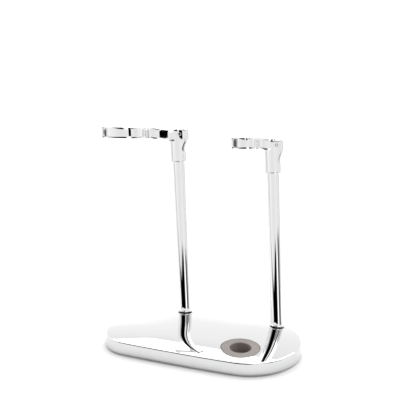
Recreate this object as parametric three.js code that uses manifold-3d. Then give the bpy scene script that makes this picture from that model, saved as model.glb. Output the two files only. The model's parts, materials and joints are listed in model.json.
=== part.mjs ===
// Shaving stand for a hanging brush and a standing razor, in millimetres, +Z up.
// A domed, chromed base casting carries two leaning tube posts. A cast holder with an open C-shaped
// fork turns on the top of each post, and the razor's end stands in a rubber cup let into the base.
// A steel ballast plate sits inside the casting, closed below by a non-slip pad.
import * as THREE from 'three';
import { mergeVertices } from 'three/addons/utils/BufferGeometryUtils.js';
import Module from 'manifold-3d';

const wasm = await Module();
wasm.setup();

// ---- driving dimensions (mm, degrees) ----
const GAP = 0.3;                       // clearance between touching pieces
const ROUND = 24;                      // segments round a visible turned piece
const HIDDEN_ROUND = 12;               // and round one inside the base or a sleeve

// base casting: outline is the rounded hull of three circles [x, y, radius]
const OUTLINE_CIRCLES = [[-49.5, -5, 20.5], [-15, 4.5, 30], [31, -20, 37]];
const OUTLINE_SOFTNESS = 1.2;          // how softly one circle runs into the next
const OUTLINE_SEGMENTS = 60;
const CROWN_CENTRE = [-2, -16];        // highest point of the domed top
const CROWN_POWER = 2.8;               // flat in the middle, rounder towards the margin
const CROWN_RISE = 3.1;
const RIM_HEIGHT = 10;                 // floor to the edge where wall and dome meet
const RIM_RADIUS = 0.6;
const WALL = 2.4;
const DOME_RINGS = [1, 0.93, 0.83, 0.69, 0.5, 0.25];   // rings as fractions from rim to crown
const SHELL_LIFT = 0.6;                // the metal stands this far above the floor

// underside
const PAD_THICKNESS = 1.8;
const PAD_BEVEL = 0.3;
const BALLAST_BOTTOM = 4.2;
const BALLAST_THICKNESS = 3.2;
const BALLAST_INSET = 4.5;
const BALLAST_POST_HOLE = { radius: 8, forward: 1.5 };   // clears the washer under a leaning post
const BALLAST_SCREW_SPOTS = [[-48, -5], [-8, -26], [54, -26], [12, 12]];
const BALLAST_SCREW = { shaft: 1.6, head: 3, headHeight: 1.5, top: 9.8 };
// screw head's details as fractions of its radius or height, and the shaft's tapered tip
const SCREW_FORM = {
  socketRadius: 0.42, socketDepth: 0.55, crownRadius: 0.8, shoulder: 0.6, tipLength: 0.5, tipTaper: 0.4,
};
const BOSS_RADIUS = 3.8;
const BOSS_BORE_TOP = 10.2;

// razor cup
const CUP_SPOT = [24.8, -36.8];
const CUP_FLANGE_RADIUS = 13.5;
const CUP_FLANGE_THICKNESS = 2.2;
const CUP_PROUD = 0.1;                 // flange top above the dome at its centre
const CUP_WELL_RADIUS = 7.4;
const CUP_BODY_RADIUS = 8.6;
const CUP_WELL_FLOOR = 4.9;
const CUP_FLOOR_THICKNESS = 1.2;
const CUP_LIP = 0.5;
const POCKET_HEADROOM = 8;             // pocket is cut this far above its seat, through the dome

// posts
const POST_RADIUS = 5;
const POST_BORE = 3.9;
const POST_FLARE_RADIUS = 5.35;
const POST_FLARE_HEIGHT = 5.5;
const POST_FLARE_MIDDLE = 0.12;        // flare still left half way up
const LEAN_BACK = 16.5;
const POST_START = 1.9;                // tube's lower end above the dome, along the post
const SLEEVE_START = 108.6;            // holder's lower end above the dome, along the post
const FOOT_RING = { radius: 5.6, height: 0.9, lift: 0.5, bevel: 0.2 };
const GASKET = { radius: 4.6, height: 0.3, lift: 0.1, bevel: 0.08 };
const POST_SCREW = { shaft: 2, head: 3.6, headHeight: 2.4, reach: 13 };
const POST_BOSS = { radius: 6, bottom: -4.6 };
const POST_WASHER = { radius: 4.6, height: 0.8 };
const PLUG = { radius: POST_BORE - GAP, height: 14, bore: POST_SCREW.shaft + GAP, lift: 1.4 };

// holders, measured up the post from the sleeve's lower end
const SLEEVE_RADIUS = 6.5;
const SLEEVE_BORE = POST_RADIUS + GAP;
const SLEEVE_CHAMFER = 0.3;
const HEAD_SOFTNESS = 0.3;
const HEAD_TOP = 24.8;
const SLEEVE_BORE_DEPTH = 23.4;
const POST_TOP_IN_SLEEVE = 21.6;
const HEAD_BACK = 2.4;                 // the head reaches this far behind the sleeve
const CAP_FLANGE = { radius: 4.9, height: 1.2, spigot: 6 };
const FRICTION_WASHER = { radius: 4.9, bore: 2.4, height: 0.35, lift: 0.15 };
const HEAD_SWELL = [[9, 0], [12, 0.35], [15, 0.85], [17, 1]];   // [height, part of HEAD_BACK]
const HEAD_CROWN = 2.2;                // radius of the rounded top
const HEAD_CROWN_ANGLES = [30, 60, 85];
const BAND_BOTTOM = 17.9;              // where the ring starts; it rises from there
const BAND_HEIGHT = 8.1;
const BAND_THICKNESS = 2.4;
const NECK_HALF_WIDTH = 4.6;
const NECK_ROOT = 3;                   // neck starts inside the head
const NECK_LEVEL = 7;                  // and has dropped fully this near the post
const NECK_FILLET = 3.2;               // fillet reaches this far out along the ring
const NECK_EASE = 4;                   // and this far back along the neck
const FILLET_LIMIT = 0.75;             // of the ring's radius
const SET_SCREW = { radius: 1.3, length: 1.2, height: 20.2, start: SLEEVE_BORE + 0.05 };

// slope: rise of the ring's plane per mm away from the post; drop: of the neck below that plane
const POSTS = {
  brush: {
    foot: [-14, 27.6], leanSide: -2.5, forkTurn: 194,
    ringCentre: 39.5, ringRadius: 18, mouth: 39, slope: 0.06, drop: 1.7,
  },
  razor: {
    foot: [51.8, 3], leanSide: -1.7, forkTurn: 204,
    ringCentre: 22, ringRadius: 9.6, mouth: 40, slope: 0.03, drop: 1,
  },
};

const COLOURS = {
  chrome: [0xe8eaec, 0.06, 1], steel: [0x8d9094, 0.35, 0.9], zinc: [0xa9acb0, 0.4, 0.9],
  rubber: [0xa59b96, 0.75, 0], pad: [0x1d1d1f, 0.9, 0], nylon: [0xdedbd2, 0.5, 0],
};

const radians = THREE.MathUtils.degToRad;

// ---- solids ----
function signedVolume(geometry) {
  const p = geometry.attributes.position, index = geometry.index;
  const [a, b, c] = [new THREE.Vector3(), new THREE.Vector3(), new THREE.Vector3()];
  let sum = 0;
  for (let i = 0; i < index.count; i += 3) {
    a.fromBufferAttribute(p, index.getX(i));
    b.fromBufferAttribute(p, index.getX(i + 1));
    c.fromBufferAttribute(p, index.getX(i + 2));
    sum += a.dot(b.cross(c));
  }
  return sum / 6;
}

/** Merges shared vertices and turns an inside-out surface round. */
function closed(geometry) {
  geometry.deleteAttribute('normal');
  geometry.deleteAttribute('uv');
  const merged = mergeVertices(geometry, 1e-4);
  if (signedVolume(merged) < 0) {
    const index = merged.index;
    for (let i = 0; i < index.count; i += 3) {
      const second = index.getX(i + 1);
      index.setX(i + 1, index.getX(i + 2));
      index.setX(i + 2, second);
    }
  }
  return merged;
}

function toSolid(geometry) {
  const shape = closed(geometry.clone());
  return new wasm.Manifold(new wasm.Mesh({
    numProp: 3,
    vertProperties: new Float32Array(shape.attributes.position.array),
    triVerts: new Uint32Array(shape.index.array),
  }));
}

function fromSolid(solid) {
  const mesh = solid.getMesh();
  const geometry = new THREE.BufferGeometry();
  geometry.setAttribute('position', new THREE.BufferAttribute(new Float32Array(mesh.vertProperties), 3));
  geometry.setIndex(new THREE.BufferAttribute(new Uint32Array(mesh.triVerts), 1));
  return geometry;
}

/** Joins the first lists' solids, then takes the second list's solids away. */
function carve(added, removed) {
  let solid = toSolid(added[0]);
  for (const geometry of added.slice(1)) solid = solid.add(toSolid(geometry));
  for (const geometry of removed) solid = solid.subtract(toSolid(geometry));
  return fromSolid(solid);
}

/** Upright cylinder from z0 to z1. */
function rod(radius, z0, z1, segments = ROUND) {
  const geometry = new THREE.CylinderGeometry(radius, radius, z1 - z0, segments);
  return geometry.rotateX(Math.PI / 2).translate(0, 0, (z0 + z1) / 2);
}

/** Turned piece about Z from [radius, z] points that close on themselves or end on the axis. */
function turned(profile, segments = ROUND) {
  const points = profile.map(([radius, z]) => new THREE.Vector2(radius, z));
  return closed(new THREE.LatheGeometry(points, segments).rotateX(Math.PI / 2));
}

/** Turned tube wall: an outer profile from bottom to top, closed down a straight bore. */
function tube(outer, bore, segments = ROUND) {
  const [bottom, top] = [outer[0][1], outer[outer.length - 1][1]];
  return turned([...outer, [bore, top], [bore, bottom], outer[0]], segments);
}

/** Skin over a stack of equal rings, from a first pole point to a last one. */
function loft(rings, firstPole, lastPole) {
  const count = rings[0].length;
  const points = [firstPole, ...rings.flat(), lastPole];
  const last = points.length - 1;
  const index = [];
  const at = (ring, i) => 1 + ring * count + (i % count);
  for (let i = 0; i < count; i++) {
    index.push(0, at(0, i), at(0, i + 1));
    for (let r = 0; r + 1 < rings.length; r++) {
      index.push(at(r, i), at(r + 1, i), at(r + 1, i + 1), at(r, i), at(r + 1, i + 1), at(r, i + 1));
    }
    index.push(at(rings.length - 1, i), last, at(rings.length - 1, i + 1));
  }
  const geometry = new THREE.BufferGeometry();
  geometry.setAttribute('position', new THREE.Float32BufferAttribute(points.flat(), 3));
  geometry.setIndex(index);
  return closed(geometry);
}

/** Ring of points round the softened hull of circles, drawn in by inset, at height z. */
function hullRing(circles, softness, count, inset, z) {
  return Array.from({ length: count }, (_, i) => {
    const angle = (2 * Math.PI * i) / count;
    const [nx, ny] = [Math.cos(angle), Math.sin(angle)];
    const supports = circles.map(([x, y, r]) => x * nx + y * ny + r - inset);
    const highest = Math.max(...supports);
    const weights = supports.map((s) => Math.exp((s - highest) / softness));
    const total = weights.reduce((sum, w) => sum + w, 0);
    const along = circles.reduce((sum, [x, y], k) => sum + (weights[k] / total) * (y * nx - x * ny), 0);
    const out = highest + softness * Math.log(total);
    return [out * nx - along * ny, out * ny + along * nx, z];
  });
}

const outlineRing = (inset, z) => hullRing(OUTLINE_CIRCLES, OUTLINE_SOFTNESS, OUTLINE_SEGMENTS, inset, z);

// ---- the domed top ----
const rimRing = outlineRing(0, 0).map(([x, y]) => [x - CROWN_CENTRE[0], y - CROWN_CENTRE[1]]);

/** 0 at the crown's centre, 1 at the rim. */
function crownFraction(x, y) {
  const [dx, dy] = [x - CROWN_CENTRE[0], y - CROWN_CENTRE[1]];
  for (let i = 0; i < rimRing.length; i++) {
    const [ax, ay] = rimRing[i];
    const [bx, by] = rimRing[(i + 1) % rimRing.length];
    const area = ax * by - ay * bx;
    const [u, v] = [(dx * by - dy * bx) / area, (ax * dy - ay * dx) / area];
    if (u >= 0 && v >= 0) return u + v;
  }
  return 0;
}

const crownHeight = (fraction) => RIM_HEIGHT + CROWN_RISE * (1 - fraction ** CROWN_POWER);
const domeHeight = ([x, y]) => crownHeight(crownFraction(x, y));

function domeNormal([x, y]) {
  const step = 2;
  const slopeX = (domeHeight([x + step, y]) - domeHeight([x - step, y])) / (2 * step);
  const slopeY = (domeHeight([x, y + step]) - domeHeight([x, y - step])) / (2 * step);
  return new THREE.Vector3(-slopeX, -slopeY, 1).normalize();
}

/** Rings of the dome from the rim to the middle, for an outline drawn in by inset and sunk by drop. */
function crownRings(inset, drop, fractions) {
  const edge = outlineRing(inset, 0);
  const [cx, cy] = CROWN_CENTRE;
  return fractions.map((f) => (
    edge.map(([x, y]) => [cx + (x - cx) * f, cy + (y - cy) * f, crownHeight(f) - drop])));
}

// ---- placing ----
/** Turns +Z to the post's lean at its foot on the dome. */
function postMatrix({ foot, leanSide }) {
  const lean = new THREE.Euler(-radians(LEAN_BACK), radians(leanSide), 0, 'XYZ');
  return new THREE.Matrix4().makeRotationFromEuler(lean).setPosition(foot[0], foot[1], domeHeight(foot));
}

const postFrames = Object.fromEntries(Object.entries(POSTS).map(([name, post]) => [name, postMatrix(post)]));
const along = (name, geometry) => geometry.clone().applyMatrix4(postFrames[name]);

const model = new THREE.Group();

function addPart(parent, name, finish, geometry) {
  const [color, roughness, metalness] = COLOURS[finish];
  const mesh = new THREE.Mesh(geometry, new THREE.MeshStandardMaterial({ color, roughness, metalness }));
  mesh.name = name;
  parent.add(mesh);
  return mesh;
}

// ---- base ----
function baseShell() {
  const outer = [
    ...crownRings(RIM_RADIUS, 0, DOME_RINGS).reverse(),
    outlineRing(0, RIM_HEIGHT - RIM_RADIUS),
    outlineRing(0, SHELL_LIFT),
  ];
  const inner = [outlineRing(WALL, SHELL_LIFT), ...crownRings(WALL, WALL, DOME_RINGS)];
  const [cx, cy] = CROWN_CENTRE;
  const peak = crownHeight(0);
  const shell = loft([...outer, ...inner], [cx, cy, peak], [cx, cy, peak - WALL]);
  const ballastBosses = BALLAST_SCREW_SPOTS.map(([x, y]) => (
    rod(BOSS_RADIUS, BALLAST_BOTTOM + BALLAST_THICKNESS + GAP, domeHeight([x, y]) - WALL / 2, HIDDEN_ROUND)
      .translate(x, y, 0)));
  const boltBores = BALLAST_SCREW_SPOTS.map(([x, y]) => (
    rod(BALLAST_SCREW.shaft + GAP, BALLAST_BOTTOM, BOSS_BORE_TOP, HIDDEN_ROUND)
      .translate(x, y, 0)));
  const postBosses = Object.keys(POSTS).map((name) => (
    along(name, rod(POST_BOSS.radius, POST_BOSS.bottom, -WALL / 2, HIDDEN_ROUND))));
  const postBores = Object.keys(POSTS).map((name) => along(name,
    rod(POST_SCREW.shaft + GAP, POST_BOSS.bottom - 1, FOOT_RING.height + 1, HIDDEN_ROUND)));
  const seat = cupTop() - CUP_FLANGE_THICKNESS - GAP;
  const cupPocket = [
    rod(CUP_FLANGE_RADIUS + GAP, seat, seat + POCKET_HEADROOM),
    rod(CUP_BODY_RADIUS + GAP, SHELL_LIFT, seat + 1),
  ].map((g) => g.translate(CUP_SPOT[0], CUP_SPOT[1], 0));
  return carve([shell, ...ballastBosses, ...postBosses], [...boltBores, ...postBores, ...cupPocket]);
}

function ballastPlate() {
  const rings = [outlineRing(BALLAST_INSET, BALLAST_BOTTOM),
    outlineRing(BALLAST_INSET, BALLAST_BOTTOM + BALLAST_THICKNESS)];
  const [cx, cy] = CROWN_CENTRE;
  const plate = loft(rings, [cx, cy, BALLAST_BOTTOM], [cx, cy, BALLAST_BOTTOM + BALLAST_THICKNESS]);
  const hole = ([x, y], radius) => rod(radius, 0, RIM_HEIGHT, HIDDEN_ROUND).translate(x, y, 0);
  const removed = [
    ...BALLAST_SCREW_SPOTS.map((spot) => hole(spot, BALLAST_SCREW.shaft + GAP)),
    ...Object.values(POSTS).map(({ foot }) => (
      hole([foot[0], foot[1] - BALLAST_POST_HOLE.forward], BALLAST_POST_HOLE.radius))),
    hole(CUP_SPOT, CUP_BODY_RADIUS + 2 * GAP),
  ];
  return carve([plate], removed);
}

function antiSlipPad() {
  const inset = WALL + GAP;
  const rings = [outlineRing(inset + PAD_BEVEL, 0), outlineRing(inset, PAD_BEVEL),
    outlineRing(inset, PAD_THICKNESS)];
  const [cx, cy] = CROWN_CENTRE;
  return loft(rings, [cx, cy, 0], [cx, cy, PAD_THICKNESS]);
}

/** Pan-head screw with its head's underside at z = 0, head below and shaft above. */
function screw({ shaft, head, headHeight }, length) {
  const form = SCREW_FORM;
  const [socket, roof] = [head * form.socketRadius, headHeight * (form.socketDepth - 1)];
  return turned([[0, roof], [socket, roof], [socket, -headHeight], [head * form.crownRadius, -headHeight],
    [head, -headHeight * form.shoulder], [head, 0], [shaft, 0], [shaft, length - form.tipLength],
    [shaft - form.tipTaper, length], [0, length]], HIDDEN_ROUND);
}

/** One ballast screw, standing head down under the plate at its spot. */
function ballastScrew([x, y]) {
  const start = BALLAST_BOTTOM - GAP;
  return screw(BALLAST_SCREW, BALLAST_SCREW.top - start).translate(x, y, start);
}

const cupTop = () => domeHeight(CUP_SPOT) + CUP_PROUD;

function razorCup() {
  const top = cupTop();
  const under = top - CUP_FLANGE_THICKNESS;
  const floor = CUP_WELL_FLOOR - CUP_FLOOR_THICKNESS;
  return turned([[0, floor], [CUP_BODY_RADIUS, floor], [CUP_BODY_RADIUS, under], [CUP_FLANGE_RADIUS, under],
    [CUP_FLANGE_RADIUS, top - CUP_LIP], [CUP_FLANGE_RADIUS - CUP_LIP, top], [CUP_WELL_RADIUS + CUP_LIP, top],
    [CUP_WELL_RADIUS, top - CUP_LIP], [CUP_WELL_RADIUS, CUP_WELL_FLOOR], [0, CUP_WELL_FLOOR]])
    .translate(CUP_SPOT[0], CUP_SPOT[1], 0);
}

function addBase() {
  addPart(model, 'base_shell', 'chrome', baseShell());
  addPart(model, 'ballast_plate', 'steel', ballastPlate());
  BALLAST_SCREW_SPOTS.forEach((spot, i) => {
    addPart(model, `ballast_screw_${i + 1}`, 'zinc', ballastScrew(spot));
  });
  addPart(model, 'anti_slip_pad', 'pad', antiSlipPad());
  addPart(model, 'razor_cup', 'rubber', razorCup());
}

// ---- posts ----
const POST_TOP = SLEEVE_START + POST_TOP_IN_SLEEVE;

/** Moves a piece made about Z to the post's foot, square to the dome there. */
function squareToDome({ foot }, geometry) {
  const turn = new THREE.Quaternion().setFromUnitVectors(new THREE.Vector3(0, 0, 1), domeNormal(foot));
  return geometry.applyQuaternion(turn).translate(foot[0], foot[1], domeHeight(foot));
}

/** Leaning tube with a slight flare at its foot, whose lower end is cut to sit flat on the foot ring. */
function postTube(name) {
  const flareTop = POST_START + POST_FLARE_HEIGHT;
  const wall = tube([[POST_FLARE_RADIUS, 0], [POST_FLARE_RADIUS, POST_START],
    [POST_RADIUS + POST_FLARE_MIDDLE, (POST_START + flareTop) / 2], [POST_RADIUS, flareTop],
    [POST_RADIUS, POST_TOP]], POST_BORE);
  const cutter = rod(3 * POST_RADIUS, -POST_RADIUS, FOOT_RING.lift + FOOT_RING.height + GAP);
  return carve([along(name, wall)], [squareToDome(POSTS[name], cutter)]);
}

function postPlug() {
  const bottom = POST_START + PLUG.lift;
  return tube([[PLUG.radius, bottom], [PLUG.radius, bottom + PLUG.height]], PLUG.bore, HIDDEN_ROUND);
}

/** Nylon cap: a spigot in the tube's end under a flange that carries the holder. */
function postCap() {
  const spigot = POST_BORE - GAP;
  return turned([[0, POST_TOP - CAP_FLANGE.spigot], [spigot - 0.5, POST_TOP - CAP_FLANGE.spigot],
    [spigot, POST_TOP - CAP_FLANGE.spigot + 1], [spigot, POST_TOP + GAP], [CAP_FLANGE.radius, POST_TOP + GAP],
    [CAP_FLANGE.radius, POST_TOP + CAP_FLANGE.height], [0, POST_TOP + CAP_FLANGE.height]], HIDDEN_ROUND);
}

/** Flat ring that lies square to the dome at the post's foot. */
function footDisc(post, { radius, height, lift, bevel }) {
  const disc = tube([[radius - bevel, lift], [radius, lift + bevel], [radius, lift + height - bevel],
    [radius - bevel, lift + height]], POST_SCREW.shaft + 2 * GAP);
  return squareToDome(post, disc);
}

function addPost(name) {
  const post = POSTS[name];
  const lean = new THREE.Group();
  lean.applyMatrix4(postFrames[name]);
  model.add(lean);
  const under = POST_BOSS.bottom - GAP;
  const washer = [[POST_WASHER.radius, under - POST_WASHER.height], [POST_WASHER.radius, under]];
  const headSeat = under - POST_WASHER.height - GAP;
  addPart(model, `${name}_post`, 'chrome', postTube(name));
  addPart(lean, `${name}_post_plug`, 'steel', postPlug());
  addPart(lean, `${name}_post_cap`, 'nylon', postCap());
  addPart(lean, `${name}_post_washer`, 'zinc', tube(washer, POST_SCREW.shaft + GAP, HIDDEN_ROUND));
  addPart(lean, `${name}_post_screw`, 'zinc',
    screw(POST_SCREW, POST_SCREW.reach - headSeat).translate(0, 0, headSeat));
  addPart(model, `${name}_foot_ring`, 'chrome', footDisc(post, FOOT_RING));
  addPart(model, `${name}_foot_gasket`, 'pad', footDisc(post, GASKET));
  return lean;
}

// ---- holders ----
/** Head and sleeve: a round sleeve that swells backwards and closes in a rounded top. */
function holderHead() {
  const section = (back, inset, z) => (
    hullRing([[0, 0, SLEEVE_RADIUS], [-back, 0, SLEEVE_RADIUS]], HEAD_SOFTNESS, ROUND, inset, z));
  const rings = [
    section(0, SLEEVE_CHAMFER, 0), section(0, 0, SLEEVE_CHAMFER),
    ...HEAD_SWELL.map(([z, part]) => section(HEAD_BACK * part, 0, z)),
    section(HEAD_BACK, 0, HEAD_TOP - HEAD_CROWN),
    ...HEAD_CROWN_ANGLES.map((a) => section(HEAD_BACK, HEAD_CROWN * (1 - Math.cos(radians(a))),
      HEAD_TOP - HEAD_CROWN * (1 - Math.sin(radians(a))))),
  ];
  return loft(rings, [0, 0, 0], [-HEAD_BACK / 2, 0, HEAD_TOP]);
}

/** Plan of the C-shaped fork and its neck; the mouth faces away from the post. */
function forkPlan({ ringCentre, ringRadius, mouth }) {
  const inner = ringRadius - BAND_THICKNESS;
  const middle = ringRadius - BAND_THICKNESS / 2;
  const open = radians(mouth);
  const join = Math.asin(Math.min(FILLET_LIMIT, (NECK_HALF_WIDTH + NECK_FILLET) / ringRadius));
  const joinX = ringCentre - ringRadius * Math.cos(join);
  const joinY = ringRadius * Math.sin(join);
  const kneeX = joinX - (joinY - NECK_HALF_WIDTH) * Math.tan(join);
  const easeX = Math.max(kneeX - NECK_EASE, NECK_ROOT + 1);
  const plan = new THREE.Shape();
  plan.moveTo(ringCentre + ringRadius * Math.cos(open), ringRadius * Math.sin(open));
  plan.absarc(ringCentre, 0, ringRadius, open, Math.PI - join, false);
  plan.quadraticCurveTo(kneeX, NECK_HALF_WIDTH, easeX, NECK_HALF_WIDTH);
  plan.lineTo(NECK_ROOT, NECK_HALF_WIDTH);
  plan.lineTo(NECK_ROOT, -NECK_HALF_WIDTH);
  plan.lineTo(easeX, -NECK_HALF_WIDTH);
  plan.quadraticCurveTo(kneeX, -NECK_HALF_WIDTH, joinX, -joinY);
  plan.absarc(ringCentre, 0, ringRadius, Math.PI + join, 2 * Math.PI - open, false);
  const tip = (side) => [ringCentre + middle * Math.cos(open), side * middle * Math.sin(open)];
  plan.absarc(...tip(-1), BAND_THICKNESS / 2, -open, Math.PI - open, false);
  plan.absarc(ringCentre, 0, inner, 2 * Math.PI - open, open, true);
  plan.absarc(...tip(1), BAND_THICKNESS / 2, Math.PI + open, 2 * Math.PI + open, false);
  return plan;
}

/** Tilts the fork's flat plan so that the ring rises outwards, and drops the neck towards the post. */
function bend(geometry, { ringCentre, ringRadius, slope, drop }) {
  const points = geometry.attributes.position;
  const ringStart = ringCentre - ringRadius;
  for (let i = 0; i < points.count; i++) {
    const out = points.getX(i) - ringStart;
    const fall = THREE.MathUtils.smoothstep(-out, 0, ringStart - NECK_LEVEL);
    points.setZ(i, points.getZ(i) + slope * out - drop * fall);
  }
  return geometry;
}

function holder(post) {
  const flat = new THREE.ExtrudeGeometry(forkPlan(post), {
    depth: BAND_HEIGHT, curveSegments: 12, bevelEnabled: false,
  }).translate(0, 0, BAND_BOTTOM);
  const fork = bend(flat, post);
  const bore = rod(SLEEVE_BORE, -1, SLEEVE_BORE_DEPTH);
  const tapping = rod(SET_SCREW.radius + GAP, SLEEVE_BORE - 1, SLEEVE_RADIUS + 2, HIDDEN_ROUND)
    .rotateX(-Math.PI / 2).translate(0, 0, SET_SCREW.height);
  return carve([holderHead(), fork], [bore, tapping]);
}

/** Grub screw in the sleeve's side, square to the fork. */
function setScrew() {
  return rod(SET_SCREW.radius, SET_SCREW.start, SET_SCREW.start + SET_SCREW.length, HIDDEN_ROUND)
    .rotateX(-Math.PI / 2).translate(0, 0, SET_SCREW.height);
}

/** Thin nylon friction ring between the post's cap and the roof of the sleeve. */
function frictionWasher() {
  const { radius, bore, height, lift } = FRICTION_WASHER;
  const bottom = POST_TOP_IN_SLEEVE + CAP_FLANGE.height + lift;
  return tube([[radius, bottom], [radius, bottom + height]], bore, HIDDEN_ROUND);
}

function addHolder(name, lean) {
  const turn = new THREE.Group();
  turn.position.z = SLEEVE_START;
  turn.rotation.z = radians(POSTS[name].forkTurn);
  lean.add(turn);
  addPart(turn, `${name}_holder`, 'chrome', holder(POSTS[name]));
  addPart(turn, `${name}_holder_set_screw`, 'steel', closed(setScrew()));
  addPart(turn, `${name}_friction_washer`, 'nylon', frictionWasher());
}

addBase();
for (const name of Object.keys(POSTS)) addHolder(name, addPost(name));

// stand the model on the floor with its box centred over the origin
const box = new THREE.Box3().setFromObject(model, true);
const centre = box.getCenter(new THREE.Vector3());
model.position.set(-centre.x, -centre.y, -box.min.z);
const stand = new THREE.Group();
stand.add(model);

export default stand;
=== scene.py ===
"""Chrome shaving stand: fine surfaces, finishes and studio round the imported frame.

Sizes inside the classes are in millimetres, as a maker would read them off a drawing; meshes are
written in metres in the same frame as the CAD model.
"""

import json
import logging
import math
from dataclasses import dataclass, field
from enum import Enum

import bmesh
import bpy
import numpy as np
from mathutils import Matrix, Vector


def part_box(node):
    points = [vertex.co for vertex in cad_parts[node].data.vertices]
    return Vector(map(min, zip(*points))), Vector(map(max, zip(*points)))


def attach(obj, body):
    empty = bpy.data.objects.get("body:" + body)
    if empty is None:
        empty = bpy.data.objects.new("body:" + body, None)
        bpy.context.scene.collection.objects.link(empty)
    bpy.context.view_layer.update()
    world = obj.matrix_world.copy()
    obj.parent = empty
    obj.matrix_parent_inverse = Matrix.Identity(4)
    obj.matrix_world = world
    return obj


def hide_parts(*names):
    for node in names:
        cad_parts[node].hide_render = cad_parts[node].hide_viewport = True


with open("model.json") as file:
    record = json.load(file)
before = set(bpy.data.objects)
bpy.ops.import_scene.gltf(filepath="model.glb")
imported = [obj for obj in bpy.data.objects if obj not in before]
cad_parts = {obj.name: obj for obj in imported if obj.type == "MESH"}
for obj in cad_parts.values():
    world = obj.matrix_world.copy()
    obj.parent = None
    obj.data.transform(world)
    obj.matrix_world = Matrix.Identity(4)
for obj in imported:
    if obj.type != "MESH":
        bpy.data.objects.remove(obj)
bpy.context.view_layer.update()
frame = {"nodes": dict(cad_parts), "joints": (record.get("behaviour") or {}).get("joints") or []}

MM = 0.001
MERGE_DISTANCE = 1e-8
QUAD = 4
log = logging.getLogger("shaving_stand")
Value = bpy.types.NodeSocket | float | int


# ---------------------------------------------------------------- surfaces
def unit(v: np.ndarray) -> np.ndarray:
    """Returns the vectors along the last axis scaled to length one."""
    return v / np.maximum(np.linalg.norm(v, axis=-1, keepdims=True), 1e-12)


def smoothstep(t: np.ndarray) -> np.ndarray:
    """Returns 3t^2 - 2t^3 of t held between 0 and 1."""
    t = np.clip(t, 0.0, 1.0)
    return t * t * (3.0 - 2.0 * t)


def grid_quads(rows: int, cols: int, closed_rows: bool = False) -> np.ndarray:
    """Quads of a grid whose columns run round and join up.

    Args:
        rows: Number of rings.
        cols: Number of points in each ring.
        closed_rows: True joins the last ring to the first, which makes a torus.

    Returns:
        An array of four vertex numbers for each quad.
    """
    r = np.arange(rows if closed_rows else rows - 1)[:, None]
    c = np.arange(cols)[None, :]
    r2, c2 = (r + 1) % rows, (c + 1) % cols
    quads = np.stack([r * cols + c, r * cols + c2, r2 * cols + c2, r2 * cols + c], axis=-1)
    return quads.reshape(-1, 4)


def cap_triangles(ring_start: int, cols: int, pole: int, flip: bool) -> np.ndarray:
    """Returns the fan of triangles that closes a ring on a pole vertex."""
    c = np.arange(cols)
    a, b = ring_start + c, ring_start + (c + 1) % cols
    pair = (b, a) if flip else (a, b)
    return np.stack([pair[0], pair[1], np.full(cols, pole)], axis=-1)


def make_object(name: str, points: np.ndarray, faces: list, body: str) -> bpy.types.Object:
    """Puts a surface into a new smooth-shaded object that rides on a CAD body.

    Args:
        name: The piece's name.
        points: Points in millimetres, one row each.
        faces: Lists of vertex numbers.
        body: The CAD body that the piece moves with.

    Returns:
        The new object, with its faces pointing outwards.
    """
    mesh = bpy.data.meshes.new(name)
    mesh.from_pydata((np.asarray(points, float).reshape(-1, 3) * MM).tolist(), [], faces)
    mesh.validate()
    work = bmesh.new()
    work.from_mesh(mesh)
    bmesh.ops.remove_doubles(work, verts=work.verts, dist=MERGE_DISTANCE)
    caps = [face for face in work.faces if len(face.verts) > QUAD]
    bmesh.ops.triangulate(work, faces=caps, ngon_method="BEAUTY")
    bmesh.ops.recalc_face_normals(work, faces=work.faces)
    if work.calc_volume(signed=True) < 0:
        bmesh.ops.reverse_faces(work, faces=work.faces)
    work.to_mesh(mesh)
    work.free()
    mesh.polygons.foreach_set("use_smooth", np.ones(len(mesh.polygons), bool))
    piece = bpy.data.objects.new(name, mesh)
    bpy.context.scene.collection.objects.link(piece)
    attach(piece, body)
    log.info("%s: %d faces on %s", name, len(mesh.polygons), body)
    return piece


def ring_stack(name: str, rings: np.ndarray, body: str, start_pole: np.ndarray = None,
               end_pole: np.ndarray = None) -> bpy.types.Object:
    """Skin over rings of points, closed by poles or, without them, closed into a torus.

    Args:
        name: The piece's name.
        rings: Array (rows, columns, 3) in millimetres.
        body: The CAD body that the piece moves with.
        start_pole: Point that closes the first ring, or None.
        end_pole: Point that closes the last ring, or None.

    Returns:
        The new object.
    """
    rows, cols = rings.shape[:2]
    points = rings.reshape(-1, 3)
    faces = grid_quads(rows, cols, closed_rows=start_pole is None).tolist()
    if start_pole is not None:
        points = np.vstack([points, start_pole, end_pole])
        count = rows * cols
        faces += cap_triangles(0, cols, count, True).tolist()
        faces += cap_triangles((rows - 1) * cols, cols, count + 1, False).tolist()
    return make_object(name, points, faces, body)


def rounded_profile(corners: list, steps: int = 5) -> np.ndarray:
    """Profile through corners, each rounded by an arc-like quadratic curve.

    A corner P with radius r becomes the curve (1-t)^2 A + 2t(1-t) P + t^2 B, where A and B lie on
    the neighbouring edges at distance r from P.

    Args:
        corners: Rows of (x, z, r), in order.
        steps: Points on each rounding.

    Returns:
        Array of (x, z) points; the first and last corner stay as they are.
    """
    c = np.asarray(corners, float)
    out = [c[0, :2]]
    t = np.linspace(0.0, 1.0, steps)[:, None]
    for before, here, after in zip(c[:-2], c[1:-1], c[2:]):
        p, r = here[:2], here[2]
        if r <= 0:
            out.append(p)
            continue
        a = p + unit(before[:2] - p) * r
        b = p + unit(after[:2] - p) * r
        out.extend((1 - t) ** 2 * a + 2 * t * (1 - t) * p + t * t * b)
    out.append(c[-1, :2])
    return np.array(out)


def revolve(profile: np.ndarray, turns: int) -> np.ndarray:
    """Rings of a profile (radius, z) turned about Z: (r cos a, r sin a, z)."""
    a = np.linspace(0.0, 2 * np.pi, turns, endpoint=False)
    r, z = profile[:, 0, None], profile[:, 1, None]
    return np.stack([r * np.cos(a), r * np.sin(a), z + 0 * a], axis=-1)


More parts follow.
